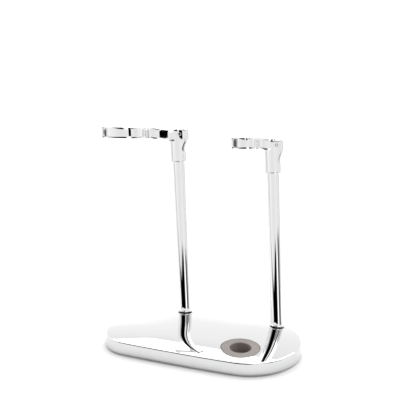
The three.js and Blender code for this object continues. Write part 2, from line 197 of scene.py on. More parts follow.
def square_to(normal: np.ndarray) -> np.ndarray:
    """Rotation matrix whose columns are two level-ish axes and the given unit normal."""
    x = unit(np.cross([0.0, 1.0, 0.0], normal))
    return np.stack([x, np.cross(normal, x), normal], axis=1)


# ---------------------------------------------------------------- node groups
def new_group(name: str, inputs: list, outputs: list) -> bpy.types.NodeTree:
    """Shader node group with named sockets.

    Args:
        name: The group's name.
        inputs: Rows of (socket name, socket type, default).
        outputs: Rows of (socket name, socket type).

    Returns:
        The new node tree, with its input and output nodes in place.
    """
    tree = bpy.data.node_groups.new(name, "ShaderNodeTree")
    for label, kind, default in inputs:
        socket = tree.interface.new_socket(label, in_out="INPUT", socket_type=kind)
        socket.default_value = default
    for label, kind in outputs:
        tree.interface.new_socket(label, in_out="OUTPUT", socket_type=kind)
    tree.nodes.new("NodeGroupInput").name = "In"
    tree.nodes.new("NodeGroupOutput").name = "Out"
    return tree


def math_node(tree: bpy.types.NodeTree, operation: str, a: Value,
              b: Value | None = None) -> bpy.types.NodeSocket:
    """Adds a Math node.

    Args:
        tree: The node tree.
        operation: The node's operation.
        a: First value, a socket or a number.
        b: Second value, or None for an operation on one value.

    Returns:
        The node's value socket.
    """
    node = tree.nodes.new("ShaderNodeMath")
    node.operation = operation
    for slot, value in zip(node.inputs, (a, b)):
        if value is None:
            continue
        if isinstance(value, bpy.types.NodeSocket):
            tree.links.new(value, slot)
        else:
            slot.default_value = value
    return node.outputs[0]


def noise_node(tree: bpy.types.NodeTree, vector: bpy.types.NodeSocket, scale: Value,
               detail: float, roughness: float = 0.5) -> bpy.types.NodeSocket:
    """Adds a Noise Texture.

    Args:
        tree: The node tree.
        vector: Coordinates that the noise is read at.
        scale: The noise's scale, a socket or a number.
        detail: Number of finer layers.
        roughness: Strength of the finer layers.

    Returns:
        The noise's factor socket.
    """
    node = tree.nodes.new("ShaderNodeTexNoise")
    tree.links.new(vector, node.inputs["Vector"])
    if isinstance(scale, bpy.types.NodeSocket):
        tree.links.new(scale, node.inputs["Scale"])
    else:
        node.inputs["Scale"].default_value = scale
    node.inputs["Detail"].default_value = detail
    node.inputs["Roughness"].default_value = roughness
    return node.outputs["Fac"]


def map_range(tree: bpy.types.NodeTree, value: bpy.types.NodeSocket, low: Value, high: Value,
              to_low: Value, to_high: Value) -> bpy.types.NodeSocket:
    """Adds a clamped Map Range node, whose limits are sockets or numbers.

    Args:
        tree: The node tree.
        value: The value that is mapped.
        low: Value that becomes to_low.
        high: Value that becomes to_high.
        to_low: Result at low.
        to_high: Result at high.

    Returns:
        The result socket.
    """
    node = tree.nodes.new("ShaderNodeMapRange")
    tree.links.new(value, node.inputs["Value"])
    limits = {"From Min": low, "From Max": high, "To Min": to_low, "To Max": to_high}
    for label, limit in limits.items():
        if isinstance(limit, bpy.types.NodeSocket):
            tree.links.new(limit, node.inputs[label])
        else:
            node.inputs[label].default_value = limit
    return node.outputs["Result"]


def mix_values(tree: bpy.types.NodeTree, share: bpy.types.NodeSocket, zero: bpy.types.NodeSocket,
               one: bpy.types.NodeSocket) -> bpy.types.NodeSocket:
    """Adds a Mix node on two values.

    Args:
        tree: The node tree.
        share: Part of the second value, 0 to 1.
        zero: Value at share 0.
        one: Value at share 1.

    Returns:
        The socket of zero (1 - share) + one share.
    """
    node = tree.nodes.new("ShaderNodeMix")
    for slot, socket in zip(node.inputs[:1] + node.inputs[2:4], (share, zero, one)):
        tree.links.new(socket, slot)
    return node.outputs[0]


def handling_group() -> bpy.types.NodeTree:
    """Faint wipe marks and finger haze: a roughness and a tint that vary over a polished surface.

    Returns:
        Group with inputs Vector, Clean Roughness, Haze Roughness, Metal, Haze, Amount, and
        outputs Roughness and Color.
    """
    tree = new_group("handling_marks", [
        ("Vector", "NodeSocketVector", (0, 0, 0)), ("Clean Roughness", "NodeSocketFloat", 0.02),
        ("Haze Roughness", "NodeSocketFloat", 0.12), ("Metal", "NodeSocketColor", (1, 1, 1, 1)),
        ("Haze", "NodeSocketColor", (1, 1, 1, 1)), ("Amount", "NodeSocketFloat", 0.3),
    ], [("Roughness", "NodeSocketFloat"), ("Color", "NodeSocketColor")])
    nodes, links = tree.nodes, tree.links
    source, sink = nodes["In"], nodes["Out"]
    broad = noise_node(tree, source.outputs["Vector"], 38.0, 3.0)
    fine = noise_node(tree, source.outputs["Vector"], 420.0, 5.0, 0.65)
    wiped = math_node(tree, "MULTIPLY", map_range(tree, broad, 0.5, 0.72, 0.0, 1.0),
                      map_range(tree, fine, 0.35, 0.7, 0.3, 1.0))
    mask = math_node(tree, "MULTIPLY", wiped, source.outputs["Amount"])
    rough = map_range(tree, mask, 0.0, 1.0, source.outputs["Clean Roughness"],
                      source.outputs["Haze Roughness"])
    tint = nodes.new("ShaderNodeMix")
    tint.data_type = "RGBA"
    links.new(mask, tint.inputs["Factor"])
    links.new(source.outputs["Metal"], tint.inputs[6])
    links.new(source.outputs["Haze"], tint.inputs[7])
    links.new(rough, sink.inputs["Roughness"])
    links.new(tint.outputs[2], sink.inputs["Color"])
    return tree


def grain_group() -> bpy.types.NodeTree:
    """Moulded or rolled grain: two scales of noise mixed into a height, a tint and a roughness.

    Returns:
        Group with inputs Vector, Scale, Dark, Light, Low Roughness, High Roughness, and outputs
        Height, Color and Roughness.
    """
    tree = new_group("surface_grain", [
        ("Vector", "NodeSocketVector", (0, 0, 0)), ("Scale", "NodeSocketFloat", 800.0),
        ("Dark", "NodeSocketColor", (0, 0, 0, 1)), ("Light", "NodeSocketColor", (1, 1, 1, 1)),
        ("Low Roughness", "NodeSocketFloat", 0.4), ("High Roughness", "NodeSocketFloat", 0.6),
    ], [("Height", "NodeSocketFloat"), ("Color", "NodeSocketColor"),
        ("Roughness", "NodeSocketFloat")])
    nodes, links = tree.nodes, tree.links
    source, sink = nodes["In"], nodes["Out"]
    fine = noise_node(tree, source.outputs["Vector"], source.outputs["Scale"], 4.0, 0.6)
    broad = noise_node(tree, source.outputs["Vector"],
                       math_node(tree, "MULTIPLY", source.outputs["Scale"], 0.09), 3.0)
    height = math_node(tree, "ADD", math_node(tree, "MULTIPLY", fine, 0.7),
                       math_node(tree, "MULTIPLY", broad, 0.3))
    tone = map_range(tree, height, 0.35, 0.65, 0.0, 1.0)
    tint = nodes.new("ShaderNodeMix")
    tint.data_type = "RGBA"
    links.new(tone, tint.inputs["Factor"])
    links.new(source.outputs["Dark"], tint.inputs[6])
    links.new(source.outputs["Light"], tint.inputs[7])
    links.new(height, sink.inputs["Height"])
    links.new(tint.outputs[2], sink.inputs["Color"])
    links.new(map_range(tree, height, 0.35, 0.65, source.outputs["Low Roughness"],
                        source.outputs["High Roughness"]), sink.inputs["Roughness"])
    return tree


def wear_group() -> bpy.types.NodeTree:
    """Sparse hairline scratches: stretched noise thresholded to thin lines.

    Returns:
        Group with inputs Vector and Density, and the output Height.
    """
    tree = new_group("hairlines", [
        ("Vector", "NodeSocketVector", (0, 0, 0)), ("Density", "NodeSocketFloat", 0.5),
    ], [("Height", "NodeSocketFloat")])
    nodes, links = tree.nodes, tree.links
    source, sink = nodes["In"], nodes["Out"]
    lines = []
    directions = ((0.5, (90, 2600, 900)), (2.1, (2300, 70, 800)))     # (turn about Z, stretch)
    for turn, stretch in directions:
        mapping = nodes.new("ShaderNodeMapping")
        mapping.inputs["Rotation"].default_value = (0.2, 0.1, turn)
        mapping.inputs["Scale"].default_value = stretch
        links.new(source.outputs["Vector"], mapping.inputs["Vector"])
        line = noise_node(tree, mapping.outputs["Vector"], 1.0, 1.0)
        lines.append(map_range(tree, line, 0.72, 0.8, 0.0, 1.0))
    both = math_node(tree, "MAXIMUM", lines[0], lines[1])
    links.new(math_node(tree, "MULTIPLY", both, source.outputs["Density"]), sink.inputs["Height"])
    return tree


GROUPS = {"handling": handling_group(), "grain": grain_group(), "hairlines": wear_group()}


# ---------------------------------------------------------------- finishes
@dataclass(frozen=True)
class Finish:
    """A surface finish; each kind builds its own material around one Principled BSDF."""

    name: str

    def shell(self) -> tuple:
        """Returns a new material's (material, node tree, Principled BSDF, Object coordinates)."""
        material = bpy.data.materials.new(self.name)
        material.use_nodes = True
        tree = material.node_tree
        principled = tree.nodes["Principled BSDF"]
        coordinates = tree.nodes.new("ShaderNodeTexCoord").outputs["Object"]
        return material, tree, principled, coordinates

    @staticmethod
    def place(tree: bpy.types.NodeTree, key: str, vector: bpy.types.NodeSocket,
              values: dict) -> bpy.types.Node:
        """Places a shared group in a material.

        Args:
            tree: The material's node tree.
            key: The group's key in GROUPS.
            vector: Coordinates for the group.
            values: The material's own values, by input name.

        Returns:
            The group node.
        """
        node = tree.nodes.new("ShaderNodeGroup")
        node.node_tree = GROUPS[key]
        tree.links.new(vector, node.inputs["Vector"])
        for label, value in values.items():
            node.inputs[label].default_value = value
        return node

    @staticmethod
    def bump(tree: bpy.types.NodeTree, height: bpy.types.NodeSocket, strength: float,
             distance: float) -> bpy.types.NodeSocket:
        """Adds a Bump node.

        Args:
            tree: The material's node tree.
            height: The height, 0 to 1.
            strength: Share of the relief that shows.
            distance: Relief in metres.

        Returns:
            The normal socket.
        """
        node = tree.nodes.new("ShaderNodeBump")
        node.inputs["Strength"].default_value = strength
        node.inputs["Distance"].default_value = distance
        tree.links.new(height, node.inputs["Height"])
        return node.outputs["Normal"]


@dataclass(frozen=True)
class ChromePlate(Finish):
    """Bright chrome plate with faint haze from handling and sparse hairline scratches."""

    metal: tuple = (0.68, 0.68, 0.685, 1)
    haze: tuple = (0.66, 0.66, 0.657, 1)
    clean: float = 0.015
    hazy: float = 0.07
    amount: float = 0.5
    scratches: float = 0.25
    scratch_relief: float = 0.05
    scratch_depth: float = 0.00001

    def build(self) -> bpy.types.Material:
        """Returns the material."""
        material, tree, principled, vector = self.shell()
        marks = self.place(tree, "handling", vector, {
            "Clean Roughness": self.clean, "Haze Roughness": self.hazy, "Metal": self.metal,
            "Haze": self.haze, "Amount": self.amount})
        lines = self.place(tree, "hairlines", vector, {"Density": self.scratches})
        principled.inputs["Metallic"].default_value = 1.0
        tree.links.new(marks.outputs["Color"], principled.inputs["Base Color"])
        tree.links.new(marks.outputs["Roughness"], principled.inputs["Roughness"])
        relief = self.bump(tree, lines.outputs["Height"], self.scratch_relief, self.scratch_depth)
        tree.links.new(relief, principled.inputs["Normal"])
        return material


@dataclass(frozen=True)
class Grained(Finish):
    """Rubber, plastic or rough metal whose colour and roughness follow a fine grain."""

    dark: tuple = (0.02, 0.02, 0.02, 1)
    light: tuple = (0.04, 0.04, 0.04, 1)
    scale: float = 900.0
    low: float = 0.55
    high: float = 0.75
    metallic: float = 0.0
    relief: float = 0.15
    depth: float = 0.0001
    specular: float = 0.4

    def build(self) -> bpy.types.Material:
        """Returns the material."""
        material, tree, principled, vector = self.shell()
        grain = self.place(tree, "grain", vector, {
            "Scale": self.scale, "Dark": self.dark, "Light": self.light,
            "Low Roughness": self.low, "High Roughness": self.high})
        principled.inputs["Metallic"].default_value = self.metallic
        principled.inputs["Specular IOR Level"].default_value = self.specular
        tree.links.new(grain.outputs["Color"], principled.inputs["Base Color"])
        tree.links.new(grain.outputs["Roughness"], principled.inputs["Roughness"])
        tree.links.new(self.bump(tree, grain.outputs["Height"], self.relief, self.depth),
                       principled.inputs["Normal"])
        return material


CHROME_BASE = ChromePlate("chrome_base", amount=0.4)
CHROME_POST = ChromePlate("chrome_post", metal=(0.8, 0.8, 0.805, 1), haze=(0.77, 0.77, 0.767, 1),
                          amount=0.3, scratches=0.15)
CHROME_HOLDER = ChromePlate("chrome_holder", metal=(0.8, 0.8, 0.805, 1),
                            haze=(0.77, 0.77, 0.767, 1), amount=0.35, scratches=0.2)
CUP_RUBBER = Grained("cup_rubber", dark=(0.235, 0.208, 0.194, 1), light=(0.315, 0.283, 0.267, 1),
                     scale=1500.0, low=0.5, high=0.68, relief=0.12, depth=0.00008)
# Near-black rubber of the anti-slip pad; on the post gaskets the same black serves partly as
# painted shade in the gap under the foot rings.
PAD_RUBBER_AND_GAP_SHADE = Grained("pad_rubber", dark=(0.012, 0.012, 0.013, 1), light=(0.035, 0.035, 0.037, 1),
                     scale=1100.0, low=0.7, high=0.9, relief=0.3, depth=0.00015)
BALLAST_STEEL = Grained("ballast_steel", dark=(0.3, 0.3, 0.31, 1), light=(0.5, 0.5, 0.51, 1),
                        scale=700.0, low=0.35, high=0.6, metallic=0.9, relief=0.1)
SCREW_STEEL = Grained("screw_steel", dark=(0.5, 0.5, 0.5, 1), light=(0.68, 0.68, 0.67, 1),
                      scale=1800.0, low=0.2, high=0.4, metallic=0.95, relief=0.05, depth=0.00003)
INSERT_STEEL = Grained("insert_steel", dark=(0.32, 0.32, 0.33, 1), light=(0.5, 0.5, 0.5, 1),
                       scale=2200.0, low=0.25, high=0.42, metallic=0.95, relief=0.05, depth=0.00003)
NYLON = Grained("nylon", dark=(0.74, 0.72, 0.66, 1), light=(0.84, 0.82, 0.77, 1),
                scale=1300.0, low=0.4, high=0.55, relief=0.06, depth=0.00004)


class Finisher:
    """Builds each finish once and dresses pieces and carried-over CAD nodes with it."""

    def __init__(self) -> None:
        """Starts with no material built."""
        self.made: dict = {}

    def material(self, finish: Finish) -> bpy.types.Material:
        """Returns the finish's material, built on first use."""
        if finish.name not in self.made:
            self.made[finish.name] = finish.build()
        return self.made[finish.name]

    def dress(self, piece: bpy.types.Object, finish: Finish, replaced: tuple = ()) -> None:
        """Gives a piece its material and slot, and hides the CAD nodes that it stands for.

        Args:
            piece: The new piece.
            finish: Its finish, whose material bears the finish's name.
            replaced: Names of the CAD nodes that the piece replaces.
        """
        piece.data.materials.clear()
        piece.data.materials.append(self.material(finish))
        if replaced:
            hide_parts(*replaced)

    def dress_node(self, node: str, finish: Finish) -> None:
        """Gives a carried-over CAD node its material."""
        piece = frame["nodes"][node]
        piece.data.materials.clear()
        piece.data.materials.append(self.material(finish))


# ---------------------------------------------------------------- base
@dataclass
class BaseCasting:
    """Domed, hollow base casting with its pocket for the razor cup.

    The outline is the soft hull of three circles: for each direction n its support is
    s ln(sum exp((c.n + r) / s)), and the outline's point is the support times n plus its
    derivative times the tangent. The dome rises over it as rise (1 - f^p), where f is 0 at the
    crown's centre and 1 at the rim.
    """

    circles: tuple = ((-49.5, -5.0, 20.5), (-15.0, 4.5, 30.0), (31.0, -20.0, 37.0))
    softness: float = 1.2
    crown: tuple = (-2.0, -16.0)
    power: float = 2.8
    rise: float = 3.1
    rim_height: float = 10.0
    rim_radius: float = 1.1
    wall: float = 2.4
    lift: float = 0.6
    cup_spot: tuple = (24.8, -36.8)
    cup_proud: float = 0.1
    flange_radius: float = 13.5
    flange_thickness: float = 2.2
    cup_body_radius: float = 8.6
    gap: float = 0.3
    columns: int = 420
    directions: int = 7200
    edge_ease: float = 0.12
    foot_ease: float = 0.25
    shift: np.ndarray = field(init=False)
    rim: np.ndarray = field(init=False)

    def __post_init__(self) -> None:
        """Finds the outline and where its frame lies in the row frame."""
        self.shift = np.zeros(2)
        outline = self.outline(0.0)
        low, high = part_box("base_shell")
        self.shift = np.array([(low.x + high.x) / 2, (low.y + high.y) / 2]) / MM \
            - (outline.min(0) + outline.max(0)) / 2
        self.rim = outline - np.array(self.crown)

    def outline(self, inset: float) -> np.ndarray:
        """Outline of the plan, evenly spaced along its length.

        Args:
            inset: How far the outline is drawn in.

        Returns:
            Points (columns, 2).
        """
        a = np.linspace(0.0, 2 * np.pi, self.directions, endpoint=False)
        n = np.stack([np.cos(a), np.sin(a)], axis=-1)
        t = np.stack([-n[:, 1], n[:, 0]], axis=-1)
        c = np.array(self.circles)
        supports = n @ c[:, :2].T + c[:, 2] - inset
        top = supports.max(1, keepdims=True)
        weights = np.exp((supports - top) / self.softness)
        total = weights.sum(1, keepdims=True)
        reach = top + self.softness * np.log(total)
        points = reach * n + ((weights / total) * (t @ c[:, :2].T)).sum(1, keepdims=True) * t
        loop = np.vstack([points, points[:1]])
        length = np.concatenate([[0.0], np.cumsum(np.linalg.norm(np.diff(loop, axis=0), axis=1))])
        even = np.linspace(0.0, length[-1], self.columns, endpoint=False)
        return np.stack([np.interp(even, length, loop[:, k]) for k in (0, 1)], axis=-1)

    def fraction(self, xy: np.ndarray) -> np.ndarray:
        """How far points lie from the crown's centre to the rim.

        Args:
            xy: Points of the casting's own plan.

        Returns:
            Each point's distance from the centre over the rim's distance in that direction.
        """
        rel = xy - np.array(self.crown)
        angle = np.arctan2(self.rim[:, 1], self.rim[:, 0])
        order = np.argsort(angle)
        known = np.concatenate([angle[order] - 2 * np.pi, angle[order], angle[order] + 2 * np.pi])
        radius = np.tile(np.linalg.norm(self.rim, axis=1)[order], 3)
        heading = np.arctan2(rel[..., 1], rel[..., 0])
        return np.linalg.norm(rel, axis=-1) / np.interp(heading, known, radius)

    def height(self, xy: np.ndarray) -> np.ndarray:
        """Dome's height over points of the casting's own plan."""
        return self.rim_height + self.rise * (1.0 - np.clip(self.fraction(xy), 0, 1) ** self.power)

    def normal(self, xy: tuple) -> np.ndarray:
        """Unit normal of the dome at a point, from central differences."""
        p, d = np.array(xy, float), 2.0
        dx, dy = np.array([d, 0.0]), np.array([0.0, d])
        slope = [(self.height(p + s) - self.height(p - s)) / (2 * d) for s in (dx, dy)]
        return unit(np.array([-slope[0], -slope[1], 1.0]))

    def to_frame(self, points: np.ndarray) -> np.ndarray:
        """Points of the casting's own frame moved into the row frame."""
        return points + np.array([*self.shift, 0.0])

    def cup_top(self) -> float:
        """Height of the cup's flange."""
        return float(self.height(np.array(self.cup_spot))) + self.cup_proud

    def rows(self) -> np.ndarray:
        """Rings from the pocket's edge over the dome, down the wall and back up inside.

        Each ray runs from the cup's centre C to a point P of the outline. Points on the dome are
        C + u (P - C) with u spaced more closely towards both ends.

        Returns:
            Array (rings, columns, 3).
        """
        centre = np.array(self.cup_spot)
        edge = self.outline(self.rim_radius)
        pocket = centre + unit(edge - centre) * (self.flange_radius + self.gap)
        throat = centre + unit(edge - centre) * (self.cup_body_radius + self.gap)
        inner = self.outline(self.wall)
        seat = self.cup_top() - self.flange_thickness - self.gap
        rings = []

        def level(xy: np.ndarray, z: np.ndarray | float) -> None:
            """Adds a ring over the plan points at one height or at a height for each."""
            rings.append(np.concatenate([xy, np.broadcast_to(z, (len(xy),))[:, None]], axis=1))

        u = 0.5 - 0.5 * np.cos(np.linspace(0.0, np.pi, 64))
        level(throat, seat)
        level(pocket, seat)
        level(pocket, self.height(pocket) - self.edge_ease)
        for k in u:
            xy = pocket + k * (edge - pocket)
            level(xy, self.height(xy) - (self.edge_ease * 0.3 if k == 0 else 0.0))
        for turn in np.radians(np.linspace(12, 78, 6)):
            level(self.outline(self.rim_radius * (1 - math.sin(turn))),
                  self.rim_height - self.rim_radius * (1 - math.cos(turn)))
        ease, outer = self.foot_ease, self.outline(0.0)
        for z in np.linspace(self.rim_height - self.rim_radius, self.lift + ease, 6):
            level(outer, z)
        level(self.outline(ease * 0.3), self.lift + ease * 0.3)
        level(self.outline(ease), self.lift)
        level(inner, self.lift)
        level(inner, self.rim_height - self.wall)
        for k in (1.0, 0.9, 0.75, 0.5, 0.25, 0.0):
            xy = throat + k * (inner - throat)
            level(xy, np.minimum(self.height(xy) - self.wall, seat - 0.5))
        return np.stack(rings)

    def build(self, finisher: Finisher) -> None:
        """Builds the fine casting and dresses it."""
        shell = ring_stack("base_casting", self.to_frame(self.rows()), "stand")
        finisher.dress(shell, CHROME_BASE, ("base_shell",))


@dataclass
class RazorCup:
    """Grey rubber cup: a turned flange with shallow moulded rings round a deep well."""

    base: BaseCasting
    well_radius: float = 7.4
    well_floor: float = 4.9
    floor_thickness: float = 1.2
    groove_depth: float = 0.16
    ring_pitch: float = 1.75
    face_inset: float = 0.8
    lip: float = 1.2

    def profile(self) -> np.ndarray:
        """Half section from the middle of the underside to the middle of the well's floor.

        Returns:
            Points (radius, z).
        """
        b, top = self.base, self.base.cup_top()
        under, floor = top - b.flange_thickness, self.well_floor - self.floor_thickness
        rim, lip = b.flange_radius - self.face_inset, self.well_radius + self.lip
        outside = rounded_profile([(0, floor, 0), (b.cup_body_radius, floor, 0.8),
                                   (b.cup_body_radius, under, 0.3), (b.flange_radius, under, 0.2),
                                   (b.flange_radius, top, 0.45), (rim, top, 0)])
        r = np.linspace(rim, lip, 60)
        wave = 0.5 + 0.5 * np.cos((r - self.well_radius - self.lip) / self.ring_pitch * 2 * np.pi)
        face = np.stack([r, top - self.groove_depth * (1 - smoothstep(wave * 1.6))], axis=-1)
        inside = rounded_profile([(lip, top, 0), (self.well_radius, top, 0.9),
                                  (self.well_radius, self.well_floor, 1.2),
                                  (0, self.well_floor, 0)], 7)
        return np.vstack([outside, face, inside])

    def settle(self, rings: np.ndarray) -> np.ndarray:
        """Lowers the flange's face on to the dome by the dome's own fall from the cup's middle.

        Args:
            rings: Points (rows, columns, 3) of the level cup in the casting's plan.

        Returns:
            The points with the upper part of the cup following the dome.
        """
        base, top = self.base, self.base.cup_top()
        fall = base.height(rings[..., :2]) + base.cup_proud - top
        above_seat = rings[..., 2] - top + base.flange_thickness
        share = np.clip(above_seat / base.flange_thickness, 0.0, 1.0)
        settled = rings.copy()
        settled[..., 2] += fall * share
        return settled

    def build(self, finisher: Finisher) -> None:
        """Builds the fine cup and dresses it."""
        profile = self.profile()
        rings = self.settle(revolve(profile[1:-1], 160) + np.array([*self.base.cup_spot, 0.0]))
        poles = [np.array([*self.base.cup_spot, profile[k, 1]]) for k in (0, -1)]
        cup = ring_stack("cup", self.base.to_frame(rings), "stand",
                         self.base.to_frame(poles[0]), self.base.to_frame(poles[1]))
        finisher.dress(cup, CUP_RUBBER, ("razor_cup",))


class Underside:
    """Pad, ballast and screws: their CAD shapes are right and get their finishes."""

    screws = tuple(f"ballast_screw_{k}" for k in range(1, 5))

    def build(self, finisher: Finisher) -> None:
        """Dresses the pieces under the casting."""
        finisher.dress_node("anti_slip_pad", PAD_RUBBER_AND_GAP_SHADE)
        finisher.dress_node("ballast_plate", BALLAST_STEEL)
        for name in self.screws:
            finisher.dress_node(name, SCREW_STEEL)


# ---------------------------------------------------------------- posts and holders
class Side(Enum):
    """Which of the two posts; the value is the prefix of its nodes and joint."""

    BRUSH = "brush"
    RAZOR = "razor"


def joint_axis(side: Side) -> tuple:
    """Returns the swivel's point (mm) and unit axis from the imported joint."""
    joint = next(j for j in frame["joints"] if j["name"] == f"{side.value}_holder_swivel")
    return np.array(joint["pos_m"]) / MM, unit(np.array(joint["axis"], float))


@dataclass
class LeaningPost:
    """Chromed tube post on a thin foot ring and a near-black rubber gasket that lie square to the
    dome; the gasket sits in the gap under the ring and is partly a seal, partly painted shade for
    the dark line there.

    The tube is the surface F + z A + r(z)(cos a X + sin a Y), with F its foot, A its axis and r a
    straight tube that flares towards the foot; its lowest ring is slid along A on to the ring.
    """

    side: Side
    base: BaseCasting
    foot: tuple
    sleeve_start: float = 108.6
    radius: float = 5.0
    flare_radius: float = 5.08
    flare_height: float = 3.5
    bore: float = 3.9
    top_in_sleeve: float = 21.6
    start: float = 1.8
    slide_height: float = 5.0
    columns: int = 128
    ring_clearance: float = 0.02
    ring_radius: float = 5.5
    ring_bore: float = 2.6
    ring_lift: float = 0.5
    ring_height: float = 0.9
    # Gasket: a rubber seal drawn smaller than the ring and near-black, so that it reads as the
    # shadow line in the gap under the ring; partly a real part, partly painted shade.
    gasket_radius: float = 4.6
    gasket_lift: float = 0.1
    gasket_height: float = 0.3

    def axes(self) -> np.ndarray:
        """Columns: the post's two cross axes and its own axis."""
        return square_to(joint_axis(self.side)[1])

    def origin(self) -> np.ndarray:
        """The post axis where it meets the dome."""
        start, axis = joint_axis(self.side)
        return start - axis * self.sleeve_start

    def tube_rings(self) -> np.ndarray:
        """Rings of the tube from its foot up outside and down again inside.

        Returns:
            Array (rings, columns, 3) in the row frame.
        """
        frame_axes, origin = self.axes(), self.origin()
        normal = self.base.normal(self.foot)
        top = self.sleeve_start + self.top_in_sleeve
        close = np.linspace(0.0, 1.0, 24) ** 1.3 * 16.0 + self.start
        z = np.concatenate([close, np.linspace(20.0, top, 30)])
        t = np.clip((z - self.start) / self.flare_height, 0.0, 1.0)
        r = self.radius + (self.flare_radius - self.radius) * (1.0 - t) ** 3
        profile = np.vstack([np.stack([r, z], axis=-1), [[self.bore, top], [self.bore, z[0]]]])
        rings = revolve(profile, self.columns)
        seat = self.ring_lift + self.ring_height + self.ring_clearance
        flat = rings @ frame_axes.T
        slope = (frame_axes[:, 2] @ normal)
        meet = (seat - flat[0] @ normal + rings[0, :, 2] * slope) / slope
        weight = (1.0 - smoothstep((rings[..., 2] - self.start) / self.slide_height))[..., None]
        slide = (meet - z[0])[None, :, None] * weight
        return flat + slide * frame_axes[:, 2] + origin

    def disc_rings(self, radius: float, lift: float, height: float, soft: float) -> np.ndarray:
        """Rings of a flat washer with soft edges, square to the dome at the foot.

        Args:
            radius: The washer's radius.
            lift: Its height above the dome.
            height: Its thickness.
            soft: Radius of its edges.

        Returns:
            Array (rings, columns, 3) in the row frame.
        """
        top = lift + height
        profile = rounded_profile([(self.ring_bore, lift, 0), (radius, lift, soft),
                                   (radius, top, soft), (self.ring_bore, top, 0)], 6)
        rings = revolve(profile, self.columns)
        return rings @ square_to(self.base.normal(self.foot)).T + self.origin()

    def build(self, finisher: Finisher) -> None:
        """Builds tube, ring and gasket, and dresses the pieces inside the post; the near-black
        gasket is partly a seal, partly painted shade in the gap under the ring.

        Args:
            finisher: Gives each piece its finish.
        """
        name = self.side.value
        tube = ring_stack(f"{name}_post_tube", self.tube_rings(), "stand")
        finisher.dress(tube, CHROME_POST, (f"{name}_post",))
        flange = self.disc_rings(self.ring_radius, self.ring_lift, self.ring_height, 0.32)
        ring = ring_stack(f"{name}_foot_flange", flange, "stand")
        finisher.dress(ring, CHROME_POST, (f"{name}_foot_ring",))
        # Near-black gasket in the gap under the ring: a rubber seal that also stands in for the
        # shadow line there, as painted shade.
        gasket_and_gap_shade = self.disc_rings(self.gasket_radius, self.gasket_lift, self.gasket_height, 0.08)
        gasket = ring_stack(f"{name}_gasket", gasket_and_gap_shade, "stand")
        finisher.dress(gasket, PAD_RUBBER_AND_GAP_SHADE, (f"{name}_foot_gasket",))
        for part, finish in (("post_plug", INSERT_STEEL), ("post_cap", NYLON),
                             ("post_washer", SCREW_STEEL), ("post_screw", SCREW_STEEL)):
            finisher.dress_node(f"{name}_{part}", finish)


